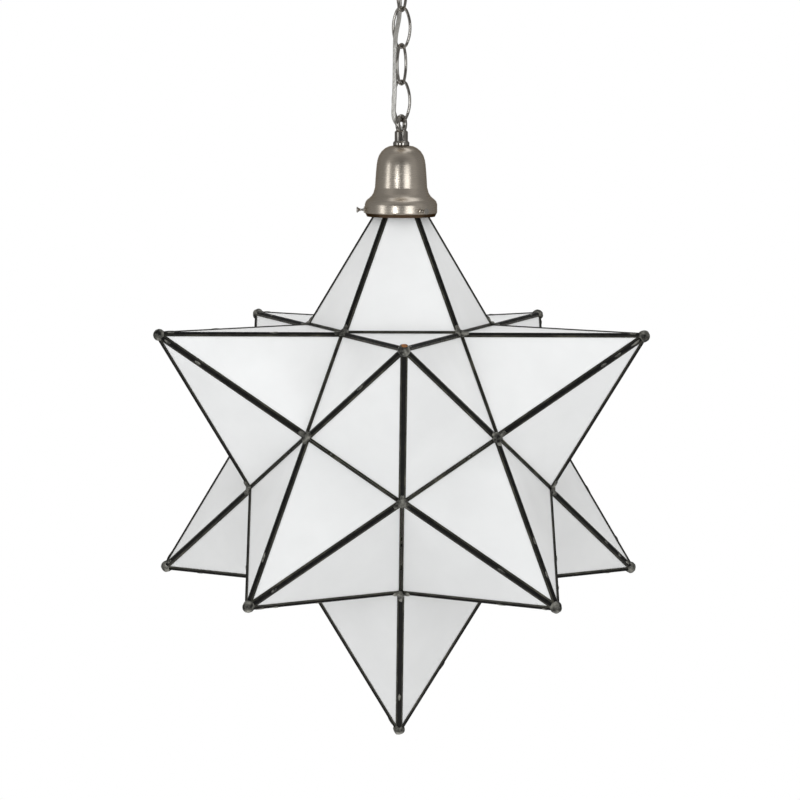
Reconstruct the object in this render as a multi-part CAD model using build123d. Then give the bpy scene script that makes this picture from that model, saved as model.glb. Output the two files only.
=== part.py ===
from build123d import *
from math import asin, atan, cos, degrees, hypot, radians, sin, sqrt, tan
import os

# A twelve-pointed star of leaded opal glass. It hangs from a round ceiling
# canopy by four chain links, a cord woven beside them, and a bell-shaped
# holder whose three thumbscrews grip the collar at the top of the star.
#
# Millimetres. The origin is the middle of the ceiling face, +Z is up, and the
# lamp hangs below it. Azimuths turn about +Z from -Y, the front, towards +X.

# ---------------------------------------------------------------- driving sizes

FIFTH = 360 / 5
HALF_FIFTH = FIFTH / 2

# Round pieces are faceted to stay light
small_sides = 12
hidden_sides = 16
collar_sides = 36
bell_sides = 48
dome_steps = 4            # facets of the bell from its flat top to its shoulder
flare_steps = 2           # facets of the flare's round part
dish_steps = 4            # facets of the canopy from its flat to its rim

# Star
pane_foot = 119.3         # side of a pane along a valley
pane_leg = 193.0          # side of a pane along a ridge, up to the sharp tip
glass_thickness = 3.0
came_sheet = 0.45         # metal of the U-shaped came round each pane
came_play = 0.05          # glass to metal
came_heel = 0.6           # back of the U
ridge_setback = 1.5       # outer corner of a came from its ridge
ridge_flange = 2.8        # came that shows beside a ridge
ridge_gap = 0.1           # between two cames along a ridge
valley_setback = 0.1
valley_flange = 2.3       # came that shows beside a valley
tip_trim = 8.0            # cut off each sharp tip, where the solder ball sits
ball_radius = 6.2
ball_sink = 2.0           # from a ball's middle down to its flat
ball_sides = 8
joint_sides = 7
joint_radius = 5.6        # solder joint where six panes meet
joint_height = 3.0
solder_gap = 0.05

# Collar on the star's neck
collar_bore = 40.0
neck_lap = 3.76           # collar's bore out to the outer face of the neck it sits on
collar_neck = 56.0        # outside diameter of its upright wall
collar_lip = 62.6
collar_height = 8.3
collar_sheet = 1.2
lip_thickness = 1.5

# Bell
bell_height = 73.5
bell_wall = 1.0
bell_dome_radius = 18.0
bell_flat_radius = 7.3    # flat on top, under the loop
bell_waist_radius = 27.1  # above the flare
bell_waist_drop = 43.6    # from the top down to the flare
bell_hollow_radius = 28.6 # on the way down the flare's hollow part
bell_hollow_drop = 48.9
bell_flare_radius = 34.3  # where the flare turns from hollow to round
bell_flare_drop = 55.6
bell_rim_radius = 37.6    # of the rim band
bell_rim_drop = 60.7      # from the top down to the rim band
bell_rim_band = 8.8       # height of the rim band
bell_lip_in = 2.3         # how far the rim turns in at the bottom
screw_height = 7.0        # thumbscrew above the bell's bottom edge
collar_rise = 2.0         # bell's bottom edge up to the foot of the collar
boss_radius = 3.4
boss_height = 1.0

# Thumbscrews
screw_radius = 1.5
screw_hole_play = 0.25
screw_neck_radius = 1.1
screw_head_radius = 3.0
screw_head_length = 3.6
screw_stand = 8.5         # bell's rim band out to the end of the head
screw_azimuths = (34.0, -86.0, 154.0)
screw_tip_gap = 0.3
screw_shoulder = 1.0      # plain shank that stands out of the boss
screw_head_rim = 0.9      # straight edge of the head

# Loops at both ends of the chain
loop_radius = 8.0         # middle of the ring to the middle of its bar
loop_bar = 5.0
loop_hub_radius = 6.9
loop_bore = 7.0
bell_loop_drop = 21.8     # ring's middle down to the foot of the bell loop
bell_loop_flange = 17.0
bell_loop_flange_height = 4.6
bell_loop_flange_bevel = 1.5
canopy_loop_hub = 22.0
canopy_loop_hub_length = 24.0
hub_below_eye = 0.5       # a hub's end stands this far back from the inside of its eye
hub_below_collar = 2.7
hub_bevel = 1.8
hub_chamfer = 3.0
thread_depth = 12.0       # of the nipple in the canopy loop
bell_thread_depth = 9.0   # of the nipple in the bell loop
thread_play = 0.15

# Chain, of faceted wire like the loops' eyes
wire = 3.0
wire_sides = 10
end_steps = 4             # facets from a link's end to its side
side_steps = 3            # facets down one side
eye_steps = 9             # facets round half an eye
eye_sides = 12
link_length = 41.0        # between the middles of the two end bends
link_width = 19.5         # between the middles of the two sides
link_end_radius = 6.5
link_gap = 0.3
link_count = 4
chain_turn = 62.0         # of the bell loop's plane from the X axis

# Cord
cord_width = 4.8
cord_thickness = 2.6
cord_corner = 0.7

# Canopy
canopy_diameter = 130.0
canopy_depth = 25.0
canopy_rim = 4.0
canopy_wall = 1.0
canopy_hole = 27.0
canopy_flat = 7.0         # flat ring round the hole
collar_ring_diameter = 32.0
collar_ring_height = 8.0
collar_ring_step = 0.8    # step that centres the canopy's hole
collar_ring_bevel = 1.5
running_gap = 0.3

# Ceiling bar
bar_length = 104.0
bar_width = 19.0
bar_thickness = 2.0
slot_spacing = 79.0       # middle to middle of the two slots
slot_length = 20.0
slot_width = 5.0
nipple_diameter = 9.6
nipple_bore = 6.6
nipple_into_cap = 2.2
hole_play = 0.3
nut_flats = 15.0
nut_height = 4.0
washer_height = 1.0
washer_diameter = 14.0
washer_split = 1.2
washer_split_tilt = 25.0
ground_screw_place = 20.0
ground_screw_head = 8.0
ground_screw_head_height = 3.2
ground_screw_thread = 4.0
ground_screw_drive = (1.2, 1.0)   # width and depth of its slot

# Socket
socket_drop = 7.7         # bell's top down to the socket cap
socket_diameter = 37.0
socket_cap_height = 14.0
socket_crown_radius = 11.5
socket_crown_drop = 7.0
socket_wall = 1.2
socket_body_height = 35.0
socket_floor = 8.0
screw_shell_diameter = 28.0
screw_shell_sheet = 0.5
screw_shell_headroom = 3.0
screw_shell_lift = 1.0
contact_width = 6.0
contact_height = 3.0
terminal_radius = 2.6
terminal_length = 2.4
terminal_place = 10.0     # lamp's axis out to a terminal screw
terminal_slot = 0.8

# Lamp
lamp_base_diameter = 26.0
lamp_base_height = 21.0
lamp_base_sheet = 0.5
lamp_button_radius = 4.5
lamp_button_height = 3.2
lamp_button_bevel = 1.0
lamp_insulator_height = 2.0
lamp_globe_play = 2.5     # widest part of the glass to the collar's bore it passes
lamp_globe_length = 92.0
lamp_globe_wall = 0.9
lamp_neck_radius = 12.2
lamp_neck_height = 9.4    # of the glass inside the lamp's shell
lamp_belly_drop = 38.6    # from the shell down to the widest place

# ------------------------------------------------------------- worked-out places

wire_radius = wire / 2
bar_radius = loop_bar / 2
nipple_bore_in_nut = nipple_diameter + 2 * thread_play

# Down the middle of the lamp, from the ceiling
canopy_bottom = -canopy_depth
canopy_loop_foot = canopy_bottom - running_gap - collar_ring_height - hub_below_collar
canopy_ring_middle = canopy_loop_foot - loop_radius + bar_radius - hub_below_eye
canopy_ring_bar = canopy_ring_middle - loop_radius

link_tops = []
link_feet = []
next_top = canopy_ring_bar + bar_radius + wire_radius + link_gap
for _ in range(link_count):
    link_tops.append(next_top)
    link_feet.append(next_top - link_length)
    next_top = link_feet[-1] + wire + link_gap

bell_ring_bar = link_feet[-1] + wire_radius + bar_radius + link_gap
bell_ring_middle = bell_ring_bar - loop_radius
bell_top = bell_ring_middle - bell_loop_drop
bell_bottom = bell_top - bell_height
screw_level = bell_bottom + screw_height
screw_reach = bell_rim_radius + screw_stand
neck_level = bell_bottom + collar_rise
socket_top = bell_top - socket_drop
socket_bottom = socket_top - socket_cap_height - socket_body_height

# One point of the star, its axis along +Z and the star's middle at the origin
foot_radius = pane_foot / 2 / sin(radians(HALF_FIFTH))
foot_inradius = pane_foot / 2 / tan(radians(HALF_FIFTH))
golden = (1 + sqrt(5)) / 2
foot_level = pane_foot * golden ** 2 / (2 * sqrt(3 - golden))
point_height = sqrt(pane_leg ** 2 - foot_radius ** 2)
tip_level = foot_level + point_height
neck_height = tip_level - (collar_bore / 2 + neck_lap) * point_height / foot_inradius
star_middle = neck_level - neck_height
pane_slant = hypot(point_height, foot_inradius)
apex_sine = pane_foot / 2 / pane_leg
apex_cosine = sqrt(1 - apex_sine ** 2)
face_out = point_height / pane_slant        # outward part of a pane's normal
face_up = foot_inradius / pane_slant        # upward part of it
normals_dot = face_out ** 2 * cos(radians(FIFTH)) + face_up ** 2
ridge_lean = sqrt((1 - normals_dot) / (1 + normals_dot))
came_depth = glass_thickness + 2 * (came_sheet + came_play)
pocket_inset = came_depth * ridge_lean + ridge_gap + came_heel

# Turns that carry that point to each of the twelve
upper_tilt = degrees(atan(2))
points = [("top", 0.0, 0.0, 0.0)]
for number in range(5):
    points.append((f"upper_{number + 1}", FIFTH * number, upper_tilt, HALF_FIFTH))
for number in range(5):
    points.append((f"lower_{number + 1}", HALF_FIFTH + FIFTH * number, 180 - upper_tilt, 0.0))
points.append(("bottom", 0.0, 180.0, 0.0))


def point_place(azimuth, tilt, spin):
    """Where one point of the star stands about the star's middle."""
    return Rot(Z=azimuth) * Rot(X=tilt) * Rot(Z=spin)


def plane_direction(turn):
    """Level direction of a link's plane, turned from +X."""
    return Vector(cos(radians(turn)), sin(radians(turn)), 0)


def across(depth_turn):
    """Turn of the plane that crosses another at a right angle."""
    return depth_turn - 90


def outward(azimuth):
    """Level direction of an azimuth."""
    return Vector(sin(radians(azimuth)), -cos(radians(azimuth)), 0)


def disc(diameter, sides):
    """A round outline, or a many-sided one for small and hidden pieces."""
    return RegularPolygon(diameter / 2, sides) if sides else Circle(diameter / 2)


def tube(outer, inner, height, bottom, sides=0):
    """A round wall between two diameters, standing on a level."""
    ring = disc(outer, sides) - disc(inner, sides)
    return Pos(0, 0, bottom) * extrude(ring, amount=height)


def rod(diameter, height, bottom, sides=0):
    """A solid cylinder standing on a level."""
    return Pos(0, 0, bottom) * extrude(disc(diameter, sides), amount=height)


def flat_face(corners):
    """A flat face between corners."""
    return Face(Wire.make_polygon(corners, close=True))


def stack(rings, sides):
    """A faceted solid through level rings of (radius, height), from the bottom up."""
    levels = []
    for radius, height in rings:
        turns = [radians(360 * number / sides) for number in range(sides)]
        levels.append([Vector(radius * cos(turn), radius * sin(turn), height) for turn in turns])
    faces = [flat_face(levels[0]), flat_face(levels[-1])]
    for lower, upper in zip(levels, levels[1:]):
        for number in range(sides):
            after = (number + 1) % sides
            faces.append(flat_face([lower[number], lower[after], upper[after], upper[number]]))
    return Solid(Shell(faces))


def lathe(outline, sides):
    """A faceted ring from a closed outline of (radius, height), turned about the Z axis."""
    turns = [radians(360 * number / sides) for number in range(sides)]
    rows = []
    for radius, height in outline:
        rows.append([Vector(radius * cos(turn), radius * sin(turn), height) for turn in turns])
    faces = []
    for here, after in zip(rows, rows[1:] + rows[:1]):
        for number in range(sides):
            beside = (number + 1) % sides
            faces.append(flat_face([here[number], here[beside], after[beside], after[number]]))
    return Solid(Shell(faces))


def arc_points(middle, radius, start, end, steps):
    """Points on an arc, both ends in, angles up from level."""
    points_on_it = []
    for number in range(steps + 1):
        angle = radians(start + (end - start) * number / steps)
        points_on_it.append((middle[0] + radius * cos(angle), middle[1] + radius * sin(angle)))
    return points_on_it


def group(shapes):
    """Separate solids that share one node."""
    solids = []
    for shape in shapes:
        solids.extend(shape.solids())
    return Compound(children=solids)


# ---------------------------------------------------------------- panes and cames

def pane_outline(foot_inset, leg_inset):
    """The triangle of a pane, drawn in from its foot and from its two legs."""
    half_foot = (pane_slant - foot_inset) * apex_sine / apex_cosine - leg_inset / apex_cosine
    apex = pane_slant - leg_inset / apex_sine
    corners = [(-half_foot, foot_inset), (half_foot, foot_inset), (0, apex)]
    return make_face(Polyline(corners, close=True))


def slab(outline, top, depth):
    """A flat plate under an outline in the pane's own plane."""
    return Pos(0, 0, top) * extrude(outline, amount=-depth)


def pane_seat():
    """Plane of the pane that faces the front, its foot on the X axis."""
    return Plane(
        origin=(0, -foot_inradius, foot_level),
        x_dir=(1, 0, 0),
        z_dir=(0, -face_out, face_up),
    )


def flat_pane():
    """The glass of one pane, square cut."""
    outline = pane_outline(valley_setback + came_heel + came_play, pocket_inset + came_play)
    return slab(outline, -came_sheet - came_play, glass_thickness)


def flat_came():
    """The U-shaped came bent round one pane, mitred to its neighbours on the ridges."""
    came = slab(pane_outline(valley_setback, ridge_setback), 0, came_depth)
    for side in (1, -1):
        inward = Vector(-side * apex_cosine, -apex_sine, 0)
        middle = Vector(side * pane_foot / 2, 0, 0) + inward * ridge_gap
        mitre = Plane(origin=middle, z_dir=inward + Vector(0, 0, ridge_lean))
        came = split(came, bisect_by=mitre, keep=Keep.TOP)
    pocket_depth = came_depth - 2 * came_sheet
    pocket = slab(pane_outline(valley_setback + came_heel, pocket_inset), -came_sheet, pocket_depth)
    window_outline = pane_outline(valley_setback + valley_flange, ridge_setback + ridge_flange)
    return came - pocket - slab(window_outline, 0, came_depth)


def stand_up(flat, cut_level):
    """Stand a flat piece on its seat in the point and cut it level at the top."""
    standing = pane_seat().location * flat
    return split(standing, bisect_by=Plane.XY.offset(cut_level), keep=Keep.BOTTOM)


def five_round(piece, place):
    """Five copies about a point's axis, where that point stands."""
    middle = Pos(0, 0, star_middle)
    return group([middle * place * Rot(Z=FIFTH * turn) * piece for turn in range(5)])


def star_points():
    """Panes and cames of all twelve points; the top one ends at the neck."""
    glass = flat_pane()
    came = flat_came()
    nodes = {}
    for name, azimuth, tilt, spin in points:
        cut_level = neck_height if name == "top" else tip_level - tip_trim
        place = point_place(azimuth, tilt, spin)
        nodes[f"{name}_point_panes"] = five_round(stand_up(glass, cut_level), place)
        nodes[f"{name}_point_cames"] = five_round(stand_up(came, cut_level), place)
    return nodes


# ------------------------------------------------------------------------ solder

def tip_balls():
    """The solder ball on each tip but the top one."""
    flat = sqrt(ball_radius ** 2 - ball_sink ** 2)
    rings = [(flat, -ball_sink), (ball_radius, 0.0)]
    for height_share in (0.6, 0.95):
        radius = ball_radius * sqrt(1 - height_share ** 2)
        rings.append((radius, ball_radius * height_share))
    middle = tip_level - tip_trim + ball_sink + solder_gap
    ball = Pos(0, 0, middle) * stack(rings, ball_sides)
    placed = []
    for name, azimuth, tilt, spin in points:
        if name != "top":
            placed.append(Pos(0, 0, star_middle) * point_place(azimuth, tilt, spin) * ball)
    return group(placed)


def whole_point():
    """One point filled in from its tip to the star's middle, for trimming the joints."""
    corners = []
    for turn in range(5):
        corners.append(outward(HALF_FIFTH + FIFTH * turn) * foot_radius + Vector(0, 0, foot_level))
    faces = []
    for end in (Vector(0, 0, tip_level), Vector(0, 0, 0)):
        for turn in range(5):
            faces.append(flat_face([corners[turn], corners[(turn + 1) % 5], end]))
    return Solid(Shell(faces))


def vertex_joints():
    """Solder where three ridges and three valleys meet, on the panes' faces."""
    corner = outward(HALF_FIFTH) * foot_radius + Vector(0, 0, foot_level)
    rings = [
        (joint_radius, -joint_height),
        (joint_radius, 0.0),
        (joint_radius / 2, joint_height),
    ]
    joint = Plane(origin=corner, z_dir=corner).location * stack(rings, joint_sides)
    pyramid = whole_point()
    for _, azimuth, tilt, spin in (points[0], points[1], points[2]):
        joint = joint - point_place(azimuth, tilt, spin) * pyramid
    joint = Pos(corner.normalized() * solder_gap) * joint
    seen = set()
    placed = []
    for _, azimuth, tilt, spin in points:
        for turn in range(5):
            place = point_place(azimuth, tilt, spin) * Rot(Z=FIFTH * turn)
            here = (place * Pos(corner)).position
            key = (round(here.X), round(here.Y), round(here.Z))
            if key not in seen:
                seen.add(key)
                placed.append(Pos(0, 0, star_middle) * place * joint)
    return group(placed)


# ---------------------------------------------------------- collar, bell, screws

def star_collar():
    """Spun collar soldered on the star's neck; the screws bite under its lip."""
    lip_under = collar_height - lip_thickness
    outline = [
        (collar_bore / 2, 0),
        (collar_neck / 2, 0),
        (collar_neck / 2, lip_under),
        (collar_lip / 2, lip_under),
        (collar_lip / 2, collar_height),
        (collar_neck / 2 - collar_sheet, collar_height),
        (collar_neck / 2 - collar_sheet, collar_sheet),
        (collar_bore / 2, collar_sheet),
    ]
    return Pos(0, 0, neck_level + solder_gap) * lathe(outline, collar_sides)


def bell_profile():
    """The bell's outside from its hole down to its lip, the bell's top at zero."""
    dome_middle = (bell_flat_radius, -bell_dome_radius)
    outline = [(nipple_diameter / 2 + hole_play, 0)]
    outline += arc_points(dome_middle, bell_dome_radius, 90, 0, dome_steps)
    outline += [
        (bell_waist_radius, -bell_waist_drop),
        (bell_hollow_radius, -bell_hollow_drop),
    ]
    # The flare's round part ends upright in the rim band
    rise = bell_rim_drop - bell_flare_drop
    reach = bell_rim_radius - bell_flare_radius
    flare_turn = degrees(2 * atan(reach / rise))
    flare_radius = rise / sin(radians(flare_turn))
    flare_middle = (bell_rim_radius - flare_radius, -bell_rim_drop)
    outline += arc_points(flare_middle, flare_radius, flare_turn, 0, flare_steps)
    outline += [
        (bell_rim_radius, -bell_rim_drop - bell_rim_band),
        (bell_rim_radius - bell_lip_in, -bell_height),
    ]
    return outline


def bell_inside():
    """The bell's inside from its lip up to its hole, a wall inside the outline."""
    dome_middle = (bell_flat_radius, -bell_dome_radius)
    outline = [
        (bell_rim_radius - bell_lip_in - bell_wall, -bell_height),
        (bell_rim_radius - bell_wall, -bell_rim_drop - bell_rim_band),
        (bell_rim_radius - bell_wall, -bell_rim_drop - bell_wall),
        (bell_flare_radius - bell_wall, -bell_flare_drop - bell_wall),
        (bell_hollow_radius - bell_wall, -bell_hollow_drop - bell_wall / 2),
        (bell_waist_radius - bell_wall, -bell_waist_drop),
    ]
    outline += arc_points(dome_middle, bell_dome_radius - bell_wall, 0, 90, dome_steps)
    return outline + [(nipple_diameter / 2 + hole_play, -bell_wall)]


def bell_holder():
    """The spun bell with its three screw bosses, open at the bottom."""
    bell = lathe(bell_profile() + bell_inside(), bell_sides)
    for azimuth in screw_azimuths:
        face = Plane(origin=outward(azimuth) * (bell_rim_radius + boss_height), z_dir=outward(azimuth))
        boss = extrude(face.location * disc(2 * boss_radius, small_sides), amount=-boss_height - bell_wall / 2)
        bell = bell + Pos(0, 0, screw_height - bell_height) * boss
    for azimuth in screw_azimuths:
        face = Plane(origin=(0, 0, screw_height - bell_height), z_dir=outward(azimuth))
        hole = disc(2 * (screw_radius + screw_hole_play), small_sides)
        bell = bell - extrude(face.location * hole, amount=bell_rim_radius + 2 * boss_height)
    return Pos(0, 0, bell_top) * bell


def thumb_screw(azimuth):
    """One thumbscrew: a plain shank, a thin neck and a flared head."""
    neck_start = bell_rim_radius + boss_height + screw_shoulder
    rings = [
        (screw_radius, collar_neck / 2 + screw_tip_gap),
        (screw_radius, neck_start),
        (screw_neck_radius, neck_start + screw_radius - screw_neck_radius),
        (screw_neck_radius, screw_reach - screw_head_length),
        (screw_head_radius, screw_reach - screw_head_rim),
        (screw_head_radius, screw_reach),
    ]
    lay = Plane(origin=(0, 0, screw_level), z_dir=outward(azimuth))
    return lay.location * stack(rings, small_sides)


# --------------------------------------------------------------- chain and loops

def arc_corners(radius, middle, start, end, steps):
    """Corners of a faceted arc, half a facet in from both ends, angles up from level."""
    step = (end - start) / steps
    reach = radius / cos(radians(step / 2))
    corners = []
    for number in range(steps):
        angle = radians(start + step * (number + 0.5))
        corners.append((middle[0] + reach * cos(angle), middle[1] + reach * sin(angle)))
    return corners


def closed_wire(half_corners, top, radius, sides):
    """A faceted wire bent round through half its corners, and mirrored."""
    path = Polyline([(0, top)] + half_corners + [(0, -top)])
    section = Plane(origin=(0, 0, top), z_dir=(1, 0, 0)) * RegularPolygon(radius, sides)
    side = sweep(section, path=Plane.XZ * path, transition=Transition.RIGHT)
    return side + mirror(side, about=Plane.YZ)


def link(turn, top):
    """One bowed oval link whose upper bend has its middle at a level."""
    half_length = link_length / 2
    half_width = link_width / 2
    end_level = half_length - link_end_radius
    spare = half_width - link_end_radius
    side_radius = (end_level ** 2 + half_width ** 2 - link_end_radius ** 2) / (2 * spare)
    meeting = degrees(asin(end_level / (side_radius - link_end_radius)))
    end = arc_corners(link_end_radius, (0, end_level), 90, meeting, end_steps)
    side = arc_corners(side_radius, (half_width - side_radius, 0), meeting, -meeting, side_steps)
    other_end = [(x, -z) for x, z in reversed(end)]
    whole = closed_wire(end + side + other_end, half_length, wire_radius, wire_sides)
    return Pos(0, 0, top - half_length) * Rot(Z=turn) * whole


def eye(turn, level):
    """The round eye of a loop, standing in a plane."""
    corners = arc_corners(loop_radius, (0, 0), 90, -90, eye_steps)
    ring = closed_wire(corners, loop_radius, bar_radius, eye_sides)
    return Pos(0, 0, level) * Rot(Z=turn) * ring


def canopy_loop():
    """Loop under the canopy: a threaded hub, and the eye that takes the first link."""
    rings = [
        (canopy_loop_hub / 2 - hub_chamfer, canopy_loop_foot),
        (canopy_loop_hub / 2, canopy_loop_foot + hub_chamfer),
        (canopy_loop_hub / 2, canopy_loop_foot + canopy_loop_hub_length),
    ]
    hub = stack(rings, collar_sides)
    bore = rod(loop_bore, canopy_loop_hub_length + loop_radius * 2, canopy_ring_middle, hidden_sides)
    tapped_foot = canopy_loop_foot + canopy_loop_hub_length - thread_depth
    tapped = rod(nipple_diameter + 2 * thread_play, thread_depth, tapped_foot, hidden_sides)
    return hub + eye(across(chain_turn), canopy_ring_middle) - bore - tapped


def bell_loop():
    """Loop on the bell: a flange, a hub and the eye that hangs on the last link."""
    hub_top = bell_ring_middle - loop_radius + bar_radius - hub_below_eye
    flange_top = bell_top + bell_loop_flange_height
    rings = [
        (bell_loop_flange / 2, bell_top),
        (bell_loop_flange / 2, flange_top - bell_loop_flange_bevel),
        (bell_loop_flange / 2 - bell_loop_flange_bevel, flange_top),
        (loop_hub_radius, flange_top),
        (loop_hub_radius, hub_top - hub_bevel),
        (loop_hub_radius - hub_bevel, hub_top),
    ]
    hub = stack(rings, hidden_sides * 2)
    bore = rod(loop_bore, bell_ring_middle - bell_top, bell_top, hidden_sides)
    tapped = rod(nipple_diameter + 2 * thread_play, bell_thread_depth, bell_top, hidden_sides)
    return hub + eye(chain_turn, bell_ring_middle) - bore - tapped


# -------------------------------------------------------------------------- cord

# Places of the cord beside the chain: along the bell loop's plane, along the
# plane that crosses it, and the level.
cord_route = [
    (0.0, 0.0, -1.0),
    (0.0, 0.0, -36.5),
    (2.6, -2.0, -41.2),
    (5.4, -5.2, -48.0),
    (5.4, -5.4, -63.0),
    (4.9, -5.0, -79.0),
    (5.0, -5.3, -93.0),
    (0.2, -5.4, -104.0),
    (-4.6, -5.1, -115.0),
    (-4.9, -5.0, -131.0),
    (-4.6, -5.3, -147.0),
    (-4.6, -5.5, -163.0),
    (-4.6, -6.0, -179.0),
    (-5.0, -6.6, -190.5),
    (-4.8, -6.0, -198.4),
    (-1.5, -2.3, -205.0),
    (0.0, 0.0, -210.0),
    (0.0, 0.0, -243.0),
]


def cord_points():
    """The cord's route in the lamp's own axes."""
    along = plane_direction(chain_turn)
    crossing = plane_direction(across(chain_turn))
    return [along * one + crossing * two + Vector(0, 0, level) for one, two, level in cord_route]


def bend_radii(route):
    """Radius at each corner: as large as its two runs leave room for."""
    radii = []
    for before, here, after in zip(route, route[1:], route[2:]):
        run_in = here - before
        run_out = after - here
        half_turn = radians(run_in.get_angle(run_out) / 2)
        radii.append(0.45 * min(run_in.length, run_out.length) / tan(half_turn))
    return radii


def lamp_cord():
    """Flat two-core cord, whole from the ceiling nipple to the socket cap."""
    route = cord_points()
    radii = bend_radii(route)
    print("cord bend radii", [round(radius, 1) for radius in radii])
    path = FilletPolyline(*route, radius=radii)
    wide, thick, cut = cord_width / 2, cord_thickness / 2, cord_corner
    corners = [
        (wide, thick - cut), (wide - cut, thick), (cut - wide, thick), (-wide, thick - cut),
        (-wide, cut - thick), (cut - wide, -thick), (wide - cut, -thick), (wide, cut - thick),
    ]
    outline = make_face(Polyline(corners, close=True))
    section = Plane(origin=route[0], x_dir=(1, 0, 0), z_dir=(0, 0, -1)) * outline
    cord = sweep(section, path=path)
    print("cord length", round(path.length, 1), "volume over section",
          round(cord.volume / outline.area, 1))
    return cord


# ------------------------------------------------------------------- ceiling end

def ceiling_bar():
    """Slotted bar that screws to the ceiling box and carries the lamp."""
    bar = Pos(0, 0, -bar_thickness) * extrude(SlotOverall(bar_length, bar_width), amount=bar_thickness)
    for side in (1, -1):
        slot = Pos(side * slot_spacing / 2, 0) * SlotOverall(slot_length, slot_width)
        bar = bar - extrude(slot, amount=-2 * bar_thickness)
    bar = bar - rod(nipple_diameter + 2 * thread_play, 4 * bar_thickness, -2 * bar_thickness)
    tapped = rod(ground_screw_thread + 2 * thread_play, 4 * bar_thickness, -2 * bar_thickness)
    return bar - Pos(ground_screw_place, 0, 0) * tapped


def ceiling_nipple():
    """Threaded tube from the ceiling bar into the canopy loop."""
    foot = canopy_loop_foot + canopy_loop_hub_length - thread_depth + thread_play
    return tube(nipple_diameter, nipple_bore, -foot, foot, hidden_sides)


def hex_nut(top):
    """Hexagon nut on a nipple, its upper face at a level."""
    nut = extrude(RegularPolygon(nut_flats / 2, 6, major_radius=False), amount=-nut_height)
    bore = rod(nipple_bore_in_nut, 4 * nut_height, -2 * nut_height, hidden_sides)
    return Pos(0, 0, top) * (nut - bore)


def split_washer(top):
    """Lock washer, cut through at one side, its upper face at a level."""
    washer = tube(washer_diameter, nipple_bore_in_nut, washer_height, -washer_height, hidden_sides)
    cut = Box(washer_diameter, washer_split, 6 * washer_height)
    cut = Pos(washer_diameter / 2, 0, 0) * Rot(X=washer_split_tilt) * cut
    return Pos(0, 0, top) * (washer - cut)


def ground_screw():
    """Grounding screw in the ceiling bar."""
    head_top = -bar_thickness - thread_play
    head_foot = head_top - ground_screw_head_height
    head = rod(ground_screw_head, ground_screw_head_height, head_foot, small_sides)
    drive_width, drive_depth = ground_screw_drive
    drive = Pos(0, 0, head_foot) * Box(ground_screw_head, drive_width, 2 * drive_depth)
    shank = rod(ground_screw_thread, -head_top, head_top, small_sides)
    return Pos(ground_screw_place, 0, 0) * (head - drive + shank)


def canopy():
    """Round dished cover against the ceiling, held up by the collar ring."""
    def dish(wall):
        rim = (canopy_diameter / 2 - wall, -canopy_rim)
        flat_edge = (canopy_hole / 2 + canopy_flat, wall - canopy_depth)
        reach = rim[0] - flat_edge[0]
        rise = rim[1] - flat_edge[1]
        dish_turn = degrees(2 * atan(rise / reach))
        dish_radius = reach / sin(radians(dish_turn))
        dish_middle = (flat_edge[0], flat_edge[1] + dish_radius)
        curve = arc_points(dish_middle, dish_radius, -90, dish_turn - 90, dish_steps)
        return [(canopy_hole / 2, flat_edge[1])] + curve + [(rim[0], 0)]

    return lathe(dish(0) + dish(canopy_wall)[::-1], collar_sides)


def collar_ring():
    """Knurled ring that threads on the loop's hub and carries the canopy."""
    bore = canopy_loop_hub / 2 + running_gap
    top = canopy_bottom - running_gap
    step = canopy_hole / 2 - running_gap
    outline = [
        (bore, -collar_ring_height),
        (collar_ring_diameter / 2 - collar_ring_bevel, -collar_ring_height),
        (collar_ring_diameter / 2, -collar_ring_height + collar_ring_bevel),
        (collar_ring_diameter / 2, 0),
        (step, 0),
        (step, collar_ring_step),
        (bore, collar_ring_step),
    ]
    return Pos(0, 0, top) * lathe(outline, collar_sides)


# --------------------------------------------------------------- socket and lamp

def bell_nipple():
    """Threaded tube from the bell loop through the bell into the socket cap."""
    top = bell_top + bell_thread_depth - thread_play
    foot = socket_top - nipple_into_cap
    return tube(nipple_diameter, nipple_bore, top - foot, foot, hidden_sides)


def socket_cap():
    """Metal cap of the socket, threaded on the nipple."""
    def crown(wall):
        rings = [
            (socket_diameter / 2 - wall, -socket_cap_height),
            (socket_diameter / 2 - wall, -socket_crown_drop),
            (socket_crown_radius, -wall),
        ]
        return stack(rings, hidden_sides)

    hole = rod(nipple_bore_in_nut, 4 * socket_wall, -2 * socket_wall, hidden_sides)
    return Pos(0, 0, socket_top) * (crown(0) - crown(socket_wall) - hole)


def socket_body():
    """Insulating body of the socket, closed at the top."""
    body = rod(socket_diameter, socket_body_height, socket_bottom, hidden_sides)
    bore = screw_shell_diameter + 2 * thread_play
    return body - rod(bore, socket_body_height - socket_floor, socket_bottom, hidden_sides)


def screw_shell():
    """Metal shell in the socket that the lamp screws into."""
    inner = screw_shell_diameter - 2 * screw_shell_sheet
    foot = socket_bottom + screw_shell_lift
    height = socket_body_height - socket_floor - screw_shell_headroom - screw_shell_lift
    return tube(screw_shell_diameter, inner, height, foot, hidden_sides)


def centre_contact():
    """Spring contact in the floor of the socket."""
    top = socket_bottom + socket_body_height - socket_floor
    return Pos(0, 0, top - contact_height / 2) * Box(contact_width, contact_width, contact_height)


def terminal_screws():
    """Two wiring screws on top of the socket's body, inside its cap."""
    floor = socket_bottom + socket_body_height
    screws = []
    for side in (1, -1):
        head = rod(2 * terminal_radius, terminal_length, floor, small_sides)
        slot = Box(3 * terminal_radius, terminal_slot, terminal_length)
        slot = Pos(0, 0, floor + terminal_length) * slot
        screws.append(Pos(side * terminal_place, 0, 0) * (head - slot))
    return group(screws)


lamp_base_top = socket_bottom + socket_body_height - socket_floor - contact_height - running_gap
lamp_shell_top = lamp_base_top - lamp_button_height
lamp_shell_foot = lamp_shell_top - lamp_base_height


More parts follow.
